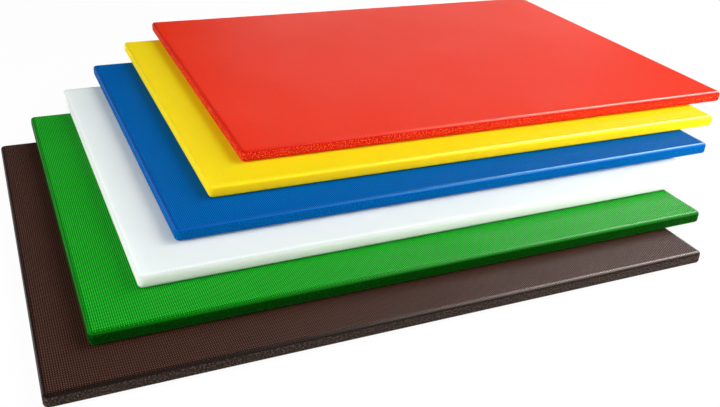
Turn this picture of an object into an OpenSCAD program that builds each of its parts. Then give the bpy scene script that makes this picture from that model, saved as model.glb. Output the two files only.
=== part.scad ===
// Set of colour-coded cutting boards, stacked flat and fanned out to the right and to the back.
// The origin is the centre of the lowest board's underside: +X right, +Y back, +Z up.

/* [Board] */
// Length of each board, from left to right
board_l = 609.6; // [300:0.1:900]
// Width of each board, from front to back
board_w = 457.2; // [200:0.1:600]
// Thickness of each board
board_t = 12.7; // [9:0.1:26]
// Radius of the upright corners, seen from above
corner_r = 4.8; // [4.5:0.1:60]
// Radius of the round-over along the top and bottom edges
edge_r = 3.2; // [0.5:0.1:4.4]
// Gap that the embossed faces leave between one board and the next
emboss_gap = 0.1; // [0.05:0.01:0.5]

/* [Green board] */
// How far the green board lies to the right of the brown one
green_right = 38.5; // [0:0.1:100]
// How far the green board lies behind the brown one
green_back = 47.2; // [0:0.1:100]
// Turn of the green board on the stack, anticlockwise in degrees
green_turn = 0.24; // [-5:0.01:5]

/* [White board] */
// How far the white board lies to the right of the green one
white_right = 45.6; // [0:0.1:100]
// How far the white board lies behind the green one
white_back = 49.3; // [0:0.1:100]
// Turn of the white board on the stack, anticlockwise in degrees
white_turn = 0.65; // [-5:0.01:5]

/* [Blue board] */
// How far the blue board lies to the right of the white one
blue_right = 42.4; // [0:0.1:100]
// How far the blue board lies behind the white one
blue_back = 42.7; // [0:0.1:100]
// Turn of the blue board on the stack, anticlockwise in degrees
blue_turn = 0.38; // [-5:0.01:5]

/* [Yellow board] */
// How far the yellow board lies to the right of the blue one
yellow_right = 45.8; // [0:0.1:100]
// How far the yellow board lies behind the blue one
yellow_back = 43.3; // [0:0.1:100]
// Turn of the yellow board on the stack, anticlockwise in degrees
yellow_turn = -0.31; // [-5:0.01:5]

/* [Red board] */
// How far the red board lies to the right of the yellow one
red_right = 44.8; // [0:0.1:100]
// How far the red board lies behind the yellow one
red_back = 38.7; // [0:0.1:100]
// Turn of the red board on the stack, anticlockwise in degrees
red_turn = -0.7; // [-5:0.01:5]

/* [Hidden] */
$fn = 96;

// Centre of each board, counted from the brown one at the bottom
brown_at = [0, 0];
green_at = brown_at + [green_right, green_back];
white_at = green_at + [white_right, white_back];
blue_at = white_at + [blue_right, blue_back];
yellow_at = blue_at + [yellow_right, yellow_back];
red_at = yellow_at + [red_right, red_back];

// Upright cut through a board of the given span: a flat band on each side between two round-overs
module cut_through(span) {
    translate([edge_r - span / 2, 0])
        square([span - 2 * edge_r, board_t]);
    translate([-span / 2, edge_r])
        square([span, board_t - 2 * edge_r]);
    for (side = [-1, 1], height = [edge_r, board_t - edge_r])
        translate([side * (span / 2 - edge_r), height])
            circle(edge_r);
}

// The same cut, swept a quarter turn about the centre of an upright corner
module corner() {
    rotate_extrude(angle = 90)
        intersection() {
            cut_through(2 * corner_r);
            square([corner_r, board_t]);
        }
}

// A run of the cut along X, centred on the origin
module run(span, length) {
    rotate([90, 0, 90])
        translate([0, 0, -length / 2])
            linear_extrude(length)
                cut_through(span);
}

// One solid slab with its round-over carried unbroken along the sides and round the corners
module board() {
    straight_l = board_l - 2 * corner_r;
    straight_w = board_w - 2 * corner_r;
    run(board_w, straight_l);
    rotate(90)
        run(board_l, straight_w);
    for (quarter = [0:3]) {
        along = quarter % 2 == 0 ? [straight_l, straight_w] : [straight_w, straight_l];
        rotate(90 * quarter)
            translate(along / 2)
                corner();
    }
}

// A board laid flat on the stack, resting on the emboss of the one below it
module laid(level, at, turn) {
    translate([at.x, at.y, level * (board_t + emboss_gap)])
        rotate(turn)
            board();
}

module brown_board() {
    color("#47362f")
        laid(0, brown_at, 0);
}

module green_board() {
    color("#2f9a3a")
        laid(1, green_at, green_turn);
}

module white_board() {
    color("#edf1f2")
        laid(2, white_at, white_turn);
}

module blue_board() {
    color("#0f62b0")
        laid(3, blue_at, blue_turn);
}

module yellow_board() {
    color("#f7dc1e")
        laid(4, yellow_at, yellow_turn);
}

module red_board() {
    color("#ea4028")
        laid(5, red_at, red_turn);
}

brown_board();
green_board();
white_board();
blue_board();
yellow_board();
red_board();
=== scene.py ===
import math

import bmesh
import bpy
import numpy as np
from mathutils import Matrix, Quaternion, Vector, noise


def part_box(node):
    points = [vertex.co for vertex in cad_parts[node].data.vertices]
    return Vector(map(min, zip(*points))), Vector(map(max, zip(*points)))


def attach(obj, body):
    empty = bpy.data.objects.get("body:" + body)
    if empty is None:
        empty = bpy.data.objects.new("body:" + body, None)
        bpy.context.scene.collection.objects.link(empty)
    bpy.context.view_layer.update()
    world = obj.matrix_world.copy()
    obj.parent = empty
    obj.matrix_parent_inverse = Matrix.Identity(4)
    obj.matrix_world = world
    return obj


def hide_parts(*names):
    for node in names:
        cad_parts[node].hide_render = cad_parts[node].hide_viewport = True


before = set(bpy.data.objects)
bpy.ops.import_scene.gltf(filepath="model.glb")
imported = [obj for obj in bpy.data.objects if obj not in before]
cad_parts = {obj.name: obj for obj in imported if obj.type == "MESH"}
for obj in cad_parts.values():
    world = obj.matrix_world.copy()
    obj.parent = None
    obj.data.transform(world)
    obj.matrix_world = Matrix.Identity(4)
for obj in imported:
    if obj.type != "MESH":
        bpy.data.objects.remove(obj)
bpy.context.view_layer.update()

scene = bpy.context.scene
scene.view_settings.view_transform = "Standard"


# Blank: one board as it comes off the saw, modelled flat on the origin
low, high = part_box("brown_board")
blank = {
    "length": high.x - low.x,
    "width": high.y - low.y,
    "thick": high.z - low.z,
    "corner": 0.0048,        # radius of the upright corners
    "cornerSteps": 6,
    "roundOver": 0.0032,     # radius along the top and bottom edges
    "roundSteps": 6,
    "border": 0.0014,        # strip of each face where the emboss is real relief
    "borderSteps": 3,
    "sideSteps": 4,          # rows on the flat of each side
    "cells": (24, 18),       # cells of a face, along and across
    "toothSteps": (48, 42),  # steps along the rim in one cell, along and across
}


def unpick(mesh):
    for items in (mesh.verts, mesh.edges, mesh.faces):
        for item in items:
            item.select = False


def pickEdges(board, test):
    mesh = bmesh.from_edit_mesh(board.data)
    unpick(mesh)
    for edge in mesh.edges:
        if test(edge.verts[0].co, edge.verts[1].co):
            edge.select_set(True)


def pickFaces(board, test):
    mesh = bmesh.from_edit_mesh(board.data)
    unpick(mesh)
    for face in mesh.faces:
        if test(face):
            face.select_set(True)


def modelBlank():
    size = Vector((blank["length"], blank["width"], blank["thick"]))
    half = size / 2
    tiny = 1e-6              # slack when two places are compared
    level = 0.9              # rise of the normal above which a face is a top or a bottom
    bpy.ops.object.select_all(action="DESELECT")
    bpy.ops.mesh.primitive_cube_add(size=1)
    board = bpy.context.object
    board.name = "blank"
    bpy.ops.object.mode_set(mode="EDIT")
    bpy.ops.mesh.select_mode(type="EDGE")
    bpy.ops.transform.resize(value=size)
    bpy.ops.transform.translate(value=(0, 0, half.z))

    # Upright corners, then the round-over along the top and bottom
    pickEdges(board, lambda a, b: abs(a.z - b.z) > half.z)
    bpy.ops.mesh.bevel(offset=blank["corner"], segments=blank["cornerSteps"], clamp_overlap=False)
    pickEdges(board, lambda a, b: abs(a.z - b.z) < tiny)
    bpy.ops.mesh.bevel(offset=blank["roundOver"], segments=blank["roundSteps"], clamp_overlap=False)

    # Border rings on both faces
    wholeFace = 0.5 * size.x * size.y
    for facing in (1, -1):
        for ring in range(blank["borderSteps"]):
            pickFaces(board, lambda f: f.normal.z * facing > level and f.calc_area() > wholeFace)
            bpy.ops.mesh.inset(thickness=blank["border"] / blank["borderSteps"])

    # Rows on the flat of the sides
    pickEdges(board, lambda a, b: abs(a.z - b.z) > half.z - blank["roundOver"])
    bpy.ops.mesh.subdivide(number_cuts=blank["sideSteps"] - 1)

    # A grid of cells, then fine steps along the rim for the teeth of the emboss
    for axis in (0, 1):
        reach = half[axis] - blank["corner"]
        cells = blank["cells"][axis]
        normal = Vector((axis == 0, axis == 1, 0))
        for i in range(1, cells):
            bpy.ops.mesh.select_all(action="SELECT")
            bpy.ops.mesh.bisect(plane_co=normal * reach * (2 * i / cells - 1), plane_no=normal)
    for axis in (0, 1):
        across = 1 - axis
        rim = half[across] - blank["roundOver"] - blank["border"] - tiny
        cell = 2 * (half[axis] - blank["corner"]) / blank["cells"][axis]
        pickEdges(board, lambda a, b: min(abs(a[across]), abs(b[across])) > rim
                  and abs(a[across] - b[across]) < tiny
                  and abs(abs(a[axis] - b[axis]) - cell) < cell / 10)
        bpy.ops.mesh.subdivide(number_cuts=blank["toothSteps"][axis] - 1)
    bpy.ops.object.mode_set(mode="OBJECT")
    bpy.ops.object.shade_smooth()
    print("blank:", len(board.data.polygons), "faces")
    return board


# Emboss: rows of raised dots in a staggered pattern, rolled into the sheet
emboss = {
    "row": 0.0018,           # from one row of dots to the next
    "turns": (0, 60, 120),   # of the three sets of rows that cross in a dot
    "waves": (-1.5, 3.0),    # sum of the three waves in a pit and on a dot
    "depth": 0.00022,        # of the pits below the dots
    "planing": 0.00005,      # of the marks on the sawn and planed sides
    "planingSize": 0.0022,
    "planedFrom": 0.05,      # how upright a spot is before it has such marks
}


def rowDirections():
    return [(math.cos(math.radians(turn)), math.sin(math.radians(turn))) for turn in emboss["turns"]]


def dotHeight(x, y):
    pit, dot = emboss["waves"]
    waves = sum(np.cos(2 * math.pi / emboss["row"] * (x * dx + y * dy)) for dx, dy in rowDirections())
    return np.clip((waves - pit) / (dot - pit), 0, 1)


def embossRim(mesh, look):
    count = len(mesh.vertices)
    spots = np.empty(count * 3, np.float32)
    mesh.vertices.foreach_get("co", spots)
    spots = spots.reshape(-1, 3).astype(float)
    normals = np.empty(count * 3, np.float32)
    mesh.vertex_normals.foreach_get("vector", normals)
    normals = normals.reshape(-1, 3).astype(float)

    # The relief starts inside the border and is whole where the round-over begins
    inside = np.minimum(blank["length"] / 2 - abs(spots[:, 0]), blank["width"] / 2 - abs(spots[:, 1]))
    start = blank["roundOver"] + blank["border"] * (1 - 1 / blank["borderSteps"])
    run = np.clip((start - inside) / (start - blank["roundOver"]), 0, 1)
    relief = run * run * (3 - 2 * run)   # eased in and out
    upright = 1 - abs(normals[:, 2])
    skew = math.radians(look["skew"])
    x = spots[:, 0] * math.cos(skew) + spots[:, 1] * math.sin(skew) + look["shift"][0]
    y = spots[:, 1] * math.cos(skew) - spots[:, 0] * math.sin(skew) + look["shift"][1]
    sink = emboss["depth"] * relief * (1 - upright) * (1 - dotHeight(x, y))
    for i in np.flatnonzero(upright > emboss["planedFrom"]):
        spot = Vector(spots[i]) / emboss["planingSize"]
        rough = 0.5 + 0.5 * noise.fractal(spot, 1.0, 2.0, 2)   # two octaves, brought to 0 to 1
        sink[i] += emboss["planing"] * upright[i] * min(max(rough, 0), 1)
    spots -= normals * sink[:, None]
    mesh.vertices.foreach_set("co", spots.astype(np.float32).ravel())
    for name, values in (("field", 1 - relief), ("side", upright)):
        layer = mesh.attributes.new(name, "FLOAT", "POINT")
        layer.data.foreach_set("value", values.astype(np.float32))
    mesh.update()


# Nodes of the materials
whole = (0.0, 1.0)


def plug(tree, node, inputs):
    for key, value in dict(inputs).items():
        if isinstance(value, bpy.types.NodeSocket):
            tree.links.new(value, node.inputs[key])
        else:
            node.inputs[key].default_value = value


def addNode(tree, kind, inputs=(), **settings):
    node = tree.nodes.new(kind)
    for name, value in settings.items():
        setattr(node, name, value)
    plug(tree, node, inputs)
    return node


def maths(tree, operation, *values):
    return addNode(tree, "ShaderNodeMath", enumerate(values), operation=operation).outputs[0]


def blendColour(tree, share, first, second):
    return addNode(tree, "ShaderNodeMix", {0: share, 6: first, 7: second}, data_type="RGBA").outputs[2]


def spread(tree, value, span, start=0.0, end=1.0):
    inputs = {"Value": value, "From Min": span[0], "From Max": span[1], "To Min": start, "To Max": end}
    return addNode(tree, "ShaderNodeMapRange", inputs).outputs[0]


def mottle(tree, where, size):
    inputs = {"Vector": where, "Scale": size[0], "Detail": size[1]}
    return addNode(tree, "ShaderNodeTexNoise", inputs).outputs["Fac"]


# Plastic: coloured polyethylene, embossed on the faces and planed on the sides
finish = {
    "flowSize": (9.0, 3.0),       # scale and detail of the flow of the pigment
    "fleckSize": (700.0, 3.0),    # of the flecks that the planer leaves on the sides
    "grainSize": (2600.0, 2.0),   # of the fine grain all over
    "grainDepth": 0.00002,
    "dotColour": (0.12, 0.5),     # heights on a dot between which its colour sets in over the painted shade of the pits
    "dotShine": (0.05, 0.3),      # and its shine
    "rolledEdge": (0.01, 0.1),    # how upright the surface is where the round-over's colour, painted darker as shade, sets in
    "planedSide": (0.6, 0.9),     # where that of the side, painted darker as shade, does
    "pitsEnd": (0.15, 0.5),       # where the dull pits run out on the round-over
    "edgeEnd": (0.45, 0.65),      # where the shine of the round-over ends
    "flankStart": (0.5, 0.8),     # where the duller shine of the side sets in
    "flowColour": (0.35, 0.65),   # spans of the noise that tint the faces
    "flowSheen": (0.3, 0.7),      # that change their roughness
    "darkFlecks": (0.36, 0.5),    # and that fleck the sides
    "paleFlecks": (0.5, 0.62),
    "pitShine": 0.05,             # share of the shine that is left in a pit
    "pitRough": 0.1,              # added roughness in a pit
    "sideRough": 0.1,             # on the sides
    "flowRough": 0.03,            # more or less with the flow
    "edgeRough": 0.24,            # roughness of the round-over
    "ior": 1.5,
}


def readMarks(tree, onBoard, look):
    skew = math.radians(look["skew"])
    placed = {"Vector": onBoard, "Location": (*look["shift"], 0), "Rotation": (0, 0, -skew)}
    onSheet = addNode(tree, "ShaderNodeMapping", placed).outputs[0]
    turns = 2 * math.pi / emboss["row"]
    waves = 0.0
    for dx, dy in rowDirections():
        along = addNode(tree, "ShaderNodeVectorMath", {0: onSheet, 1: (dx * turns, dy * turns, 0)},
                        operation="DOT_PRODUCT").outputs["Value"]
        waves = maths(tree, "ADD", waves, maths(tree, "COSINE", along))
    dots = spread(tree, waves, emboss["waves"])
    field = addNode(tree, "ShaderNodeAttribute", attribute_name="field").outputs["Fac"]
    side = addNode(tree, "ShaderNodeAttribute", attribute_name="side").outputs["Fac"]
    border = maths(tree, "SUBTRACT", 1.0, field)
    return {
        "dots": dots, "field": field, "side": side, "border": border,
        "beads": spread(tree, dots, finish["dotShine"]),
        "edge": maths(tree, "MULTIPLY", border, spread(tree, side, finish["edgeEnd"], 1.0, 0.0)),
        "flow": mottle(tree, onBoard, finish["flowSize"]),
        "flecks": mottle(tree, onBoard, finish["fleckSize"]),
        "grain": mottle(tree, onBoard, finish["grainSize"]),
    }


# Pits darker than the dots on the faces, the darkness being painted shade in the hollows, then the routed
# round-over, then the planed sides
def pigment(tree, marks, look):
    # Near the round-over the comb share thins the dots, so more of the pits' painted shade shows
    combed = maths(tree, "SUBTRACT", marks["dots"], maths(tree, "MULTIPLY", marks["border"], look["comb"]))
    colour = blendColour(tree, spread(tree, combed, finish["dotColour"]), look["pit"], look["colour"])
    flow = spread(tree, marks["flow"], finish["flowColour"], 0.0, look["flow"])
    colour = blendColour(tree, flow, colour, look["rim"])
    # The round-over's colour is painted darker than the faces on most boards, as shade on the rounded edge;
    # the teeth let the dots reach into it
    toothed = maths(tree, "SUBTRACT", marks["side"], maths(tree, "MULTIPLY", marks["beads"], look["teeth"]))
    colour = blendColour(tree, spread(tree, toothed, finish["rolledEdge"]), colour, look["rim"])
    # The sides' colour is painted darker than the faces on most boards, as shade on the sides
    planed = spread(tree, marks["side"], finish["planedSide"])
    colour = blendColour(tree, planed, colour, look["shadedFlank"])
    dark = spread(tree, marks["flecks"], finish["darkFlecks"], look["fleck"], 0.0)
    colour = blendColour(tree, maths(tree, "MULTIPLY", dark, planed), colour, look["rim"])
    pale = spread(tree, marks["flecks"], finish["paleFlecks"], 0.0, look["fleck"])
    return blendColour(tree, maths(tree, "MULTIPLY", pale, planed), colour, look["pale"])


# The round-over shines more than the faces and the sides, and the pits hardly shine
def polish(tree, marks, look):
    shine = spread(tree, marks["edge"], whole, look["sheen"], look["edgeSheen"])
    flat = spread(tree, marks["side"], finish["pitsEnd"], 1.0, 0.0)
    sunk = maths(tree, "MULTIPLY", flat, maths(tree, "SUBTRACT", 1.0, marks["beads"]))
    shine = maths(tree, "MULTIPLY", shine, spread(tree, sunk, whole, 1.0, finish["pitShine"]))
    dull = spread(tree, marks["side"], finish["flankStart"], 1.0, look["flankSheen"])
    return maths(tree, "MULTIPLY", shine, dull)


def roughness(tree, marks, look):
    rough = spread(tree, marks["dots"], whole, look["rough"] + finish["pitRough"], look["rough"])
    rough = maths(tree, "ADD", rough, maths(tree, "MULTIPLY", marks["side"], finish["sideRough"]))
    change = finish["flowRough"]
    rough = maths(tree, "ADD", rough, spread(tree, marks["flow"], finish["flowSheen"], -change, change))
    smoother = look["rough"] - finish["edgeRough"]
    return maths(tree, "SUBTRACT", rough, maths(tree, "MULTIPLY", marks["edge"], smoother))


def bumps(tree, marks, look):
    height = maths(tree, "MULTIPLY", marks["dots"], marks["field"])
    dots = addNode(tree, "ShaderNodeBump", {"Height": height, "Strength": look["relief"],
                                            "Distance": emboss["depth"]}).outputs[0]
    return addNode(tree, "ShaderNodeBump", {"Height": marks["grain"], "Strength": 1.0, "Normal": dots,
                                            "Distance": finish["grainDepth"]}).outputs[0]


def plastic(name, look, centre, turn):
    material = bpy.data.materials.new(name)
    material.use_nodes = True
    tree = material.node_tree
    here = addNode(tree, "ShaderNodeTexCoord").outputs["Object"]
    placed = {"Vector": here, "Location": centre, "Rotation": (0, 0, turn)}
    onBoard = addNode(tree, "ShaderNodeMapping", placed, vector_type="TEXTURE").outputs[0]
    marks = readMarks(tree, onBoard, look)
    plug(tree, tree.nodes["Principled BSDF"], {
        "Base Color": pigment(tree, marks, look),
        "Specular IOR Level": polish(tree, marks, look),
        "Specular Tint": blendColour(tree, marks["edge"], look["faceTint"], look["tint"]),
        "Roughness": roughness(tree, marks, look),
        "Normal": bumps(tree, marks, look),
        "IOR": finish["ior"],
        "Subsurface Weight": look["glow"],
        "Subsurface Radius": look["reach"],
        "Subsurface Scale": 1.0,
    })
    return material


# Boards, from the bottom of the stack up. Degrees: turn on the stack, skew of the dots to the edges.
# Colours: of the dots, the pits, the round-over (rim), the sides (flank) and their pale flecks; the pits,
# rim and flank hold painted shade.
# Shares: fleck on the sides, comb and teeth where the dots meet the round-over, flow on the faces.
boards = {
    "brown": {
        "turn": 0.0, "skew": 0.3, "shift": (0.0, 0.0),
        "colour": (0.1, 0.039, 0.027, 1), "pit": (0.003, 0.0015, 0.001, 1), "rim": (0.006, 0.003, 0.0022, 1),
        "shadedFlank": (0.026, 0.017, 0.013, 1), "pale": (0.2, 0.15, 0.125, 1),
        "fleck": 0.36, "comb": 0.35, "teeth": 0.08, "flow": 0.06, "rough": 0.5, "relief": 1,
        "sheen": 0.3, "edgeSheen": 0.9, "flankSheen": 0.2,
        "faceTint": (1, 0.78, 0.68, 1), "tint": (1, 0.8, 0.7, 1),
        "glow": 0.0, "reach": (0.001, 0.0006, 0.0005),
    },
    "green": {
        "turn": 0.24, "skew": -0.35, "shift": (0.0004, 0.0007),
        "colour": (0.01, 0.59, 0.021, 1), "pit": (0.001, 0.09, 0.002, 1), "rim": (0.001, 0.125, 0.001, 1),
        "shadedFlank": (0.0012, 0.032, 0.0012, 1), "pale": (0.03, 0.4, 0.03, 1),
        "fleck": 0.15, "comb": 0.3, "teeth": 0.12, "flow": 0.06, "rough": 0.5, "relief": 1,
        "sheen": 0.29, "edgeSheen": 0.45, "flankSheen": 0.1,
        "faceTint": (0.5, 1, 0.5, 1), "tint": (0.5, 1, 0.5, 1),
        "glow": 0.1, "reach": (0.001, 0.002, 0.001),
    },
    "white": {
        "turn": 0.65, "skew": 0.25, "shift": (0.0009, 0.0002),
        "colour": (0.82, 0.887, 0.877, 1), "pit": (0.795, 0.862, 0.853, 1), "rim": (0.66, 0.71, 0.69, 1),
        # Its sides are painted a duller yellow-green: shade, and light reflected from the green board below
        "shadedFlank": (0.765, 0.785, 0.735, 1), "pale": (0.83, 0.875, 0.85, 1),
        "fleck": 0.2, "comb": 0.0, "teeth": 0.1, "flow": 0.1, "rough": 0.35, "relief": 0.4,
        "sheen": 0.08, "edgeSheen": 0.2, "flankSheen": 1,
        "faceTint": (1, 1, 1, 1), "tint": (1, 1, 1, 1),
        "glow": 1.0, "reach": (0.014, 0.014, 0.0135),
    },
    "blue": {
        "turn": 0.38, "skew": 0.45, "shift": (0.0002, 0.0011),
        "colour": (0.0004, 0.185, 0.6, 1), "pit": (0.0003, 0.045, 0.22, 1), "rim": (0.0003, 0.085, 0.38, 1),
        "shadedFlank": (0.0004, 0.075, 0.26, 1), "pale": (0.01, 0.34, 0.75, 1),
        "fleck": 0.25, "comb": 0.3, "teeth": 0.1, "flow": 0.08, "rough": 0.35, "relief": 0.8,
        "sheen": 0.01, "edgeSheen": 1, "flankSheen": 0.7,
        "faceTint": (0.22, 0.78, 1, 1), "tint": (0.2, 0.85, 1, 1),
        "glow": 0.1, "reach": (0.0008, 0.001, 0.002),
    },
    "yellow": {
        "turn": -0.31, "skew": -0.2, "shift": (0.0007, 0.0005),
        "colour": (0.98, 0.68, 0.008, 1), "pit": (0.97, 0.67, 0.007, 1), "rim": (0.98, 0.7, 0.009, 1),
        "shadedFlank": (0.99, 0.63, 0.008, 1), "pale": (0.99, 0.8, 0.1, 1),
        "fleck": 0.25, "comb": 0.0, "teeth": 0.1, "flow": 0.08, "rough": 0.35, "relief": 0.35,
        "sheen": 0.016, "edgeSheen": 0.65, "flankSheen": 0.7,
        "faceTint": (1, 1, 0.6, 1), "tint": (1, 1, 0.75, 1),
        "glow": 1.0, "reach": (0.008, 0.006, 0.001),
    },
    "red": {
        "turn": -0.7, "skew": 0.5, "shift": (0.0011, 0.0009),
        "colour": (0.91, 0.04, 0.004, 1), "pit": (0.78, 0.017, 0.003, 1), "rim": (0.58, 0.0015, 0.001, 1),
        # The orange in its pale flecks is painted light reflected from the yellow board below
        "shadedFlank": (0.48, 0.0042, 0.002, 1), "pale": (0.95, 0.15, 0.055, 1),
        "fleck": 0.85, "comb": 0.3, "teeth": 0.18, "flow": 0.06, "rough": 0.35, "relief": 0.8,
        "sheen": 0.016, "edgeSheen": 0.85, "flankSheen": 0.5,
        "faceTint": (1, 0.85, 0.5, 1), "tint": (1, 0.85, 0.6, 1),
        "glow": 0.25, "reach": (0.002, 0.0007, 0.0005),
    },
}


def layBoard(colour, look, blankBoard):
    node = colour + "_board"
    low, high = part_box(node)
    centre = Vector(((low.x + high.x) / 2, (low.y + high.y) / 2, low.z))
    turn = math.radians(look["turn"])
    mesh = blankBoard.data.copy()
    mesh.name = colour + "_slab"
    embossRim(mesh, look)
    mesh.transform(Matrix.Translation(centre) @ Matrix.Rotation(turn, 4, "Z"))
    piece = bpy.data.objects.new(colour + "_slab", mesh)
    scene.collection.objects.link(piece)
    mesh.materials.clear()
    mesh.materials.append(plastic(colour + "Plastic", look, centre, turn))
    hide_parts(node)
    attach(piece, colour)
    print("board:", colour)


blankBoard = modelBlank()
for colour, look in boards.items():
    layBoard(colour, look, blankBoard)
bpy.data.objects.remove(blankBoard)


# Floor: plain, pale, and white to the eye where no shadow falls
floorLook = {"size": 12.0, "gap": 0.0002, "shade": (0.9, 0.9, 0.9, 1), "white": 0.95}
bpy.ops.object.select_all(action="DESELECT")
bpy.ops.mesh.primitive_plane_add(size=floorLook["size"], location=(0, 0, low.z - floorLook["gap"]))
floor = bpy.context.object
floor.name = "floor"
paper = bpy.data.materials.new("paper")
paper.use_nodes = True
tree = paper.node_tree
tree.nodes.remove(tree.nodes["Principled BSDF"])
rays = addNode(tree, "ShaderNodeLightPath").outputs
seen = maths(tree, "MAXIMUM", rays["Is Camera Ray"], rays["Is Glossy Ray"])
seen = maths(tree, "MAXIMUM", seen, rays["Is Transmission Ray"])
matt = addNode(tree, "ShaderNodeBsdfDiffuse", {"Color": floorLook["shade"]}).outputs[0]
bright = addNode(tree, "ShaderNodeEmission", {"Color": (1, 1, 1, 1), "Strength": 1.0}).outputs[0]
mixed = addNode(tree, "ShaderNodeMixShader", {0: maths(tree, "MULTIPLY", seen, floorLook["white"]),
                                              1: matt, 2: bright}).outputs[0]
tree.links.new(mixed, tree.nodes["Material Output"].inputs["Surface"])
floor.data.materials.append(paper)
print("floor: laid")


# Lamps: a large soft window on the right, a little behind, then weaker ones for the fronts, for the
# left sides and for the shine on the edges. One that isn't mirrored only lights, and the other way round.
lamps = {
    "window": {"at": (1.75, 0.144, 1.63), "aim": (0.1, 0.0, 0.03), "size": (1.0, 1.86), "power": 38.0,
               "lights": True, "mirrored": True},
    "softbox": {"at": (0.816, -0.738, 1.0), "aim": (0.2, -0.1, 0.05), "size": (0.75, 0.5), "power": 4.5,
                "lights": True, "mirrored": True},
    "front": {"at": (0.85, -0.7, 0.16), "aim": (0.3, -0.1, 0.05), "size": (0.5, 0.3), "power": 8.5,
              "lights": True, "mirrored": False},
    "left": {"at": (-1.47, -0.35, 0.7), "aim": (0.0, 0.0, 0.03), "size": (1.2, 1.0), "power": 27.0,
             "lights": True, "mirrored": False},
    "gloss": {"at": (1.44, 0.77, 0.98), "aim": (0.2, -0.1, 0.0), "size": (0.8, 0.6), "power": 19.0,
              "lights": False, "mirrored": True},
    "card": {"at": (0.95, 1.6, 0.38), "aim": (0.25, 0.2, 0.077), "size": (1.3, 0.45), "power": 8.0,
             "lights": True, "mirrored": True},
}
for name, lamp in lamps.items():
    data = bpy.data.lights.new(name, "AREA")
    data.shape = "RECTANGLE"
    data.size, data.size_y = lamp["size"]
    data.energy = lamp["power"]
    light = bpy.data.objects.new(name, data)
    light.location = lamp["at"]
    facing = (Vector(lamp["aim"]) - Vector(lamp["at"])).to_track_quat("-Z", "Y")
    light.rotation_euler = facing.to_euler()
    light.visible_camera = False
    light.visible_diffuse = lamp["lights"]
    light.visible_glossy = lamp["mirrored"]
    scene.collection.objects.link(light)

# Room: dim where it lights and is mirrored by the boards, white to the eye
roomLook = {"light": 0.04, "sheen": 0.04}
room = bpy.data.worlds.new("room")
room.use_nodes = True
tree = room.node_tree
rays = addNode(tree, "ShaderNodeLightPath").outputs
seen = maths(tree, "MAXIMUM", rays["Is Camera Ray"], rays["Is Transmission Ray"])
seen = maths(tree, "MAXIMUM", seen, maths(tree, "MULTIPLY", rays["Is Glossy Ray"], roomLook["sheen"]))
plug(tree, tree.nodes["Background"], {"Color": (1, 1, 1, 1),
                                      "Strength": spread(tree, seen, whole, roomLook["light"], 1.0)})
scene.world = room
print("light: set")


# Camera: from the front left corner, a little tilted
sight = {"eye": (-0.3060, -0.7485, 0.4290), "aim": (0.0377, -0.0083, 0.0), "roll": 3.04,
         "lens": 43.195, "sensor": 36.0, "near": 0.01}
eye = Vector(sight["eye"])
facing = (Vector(sight["aim"]) - eye).to_track_quat("-Z", "Y")
cameraData = bpy.data.cameras.new("camera")
cameraData.lens = sight["lens"]
cameraData.sensor_width = sight["sensor"]
cameraData.clip_start = sight["near"]
camera = bpy.data.objects.new("camera", cameraData)
camera.location = eye
camera.rotation_euler = (facing @ Quaternion((0, 0, 1), math.radians(sight["roll"]))).to_euler()
scene.collection.objects.link(camera)
scene.camera = camera
print("camera: set")
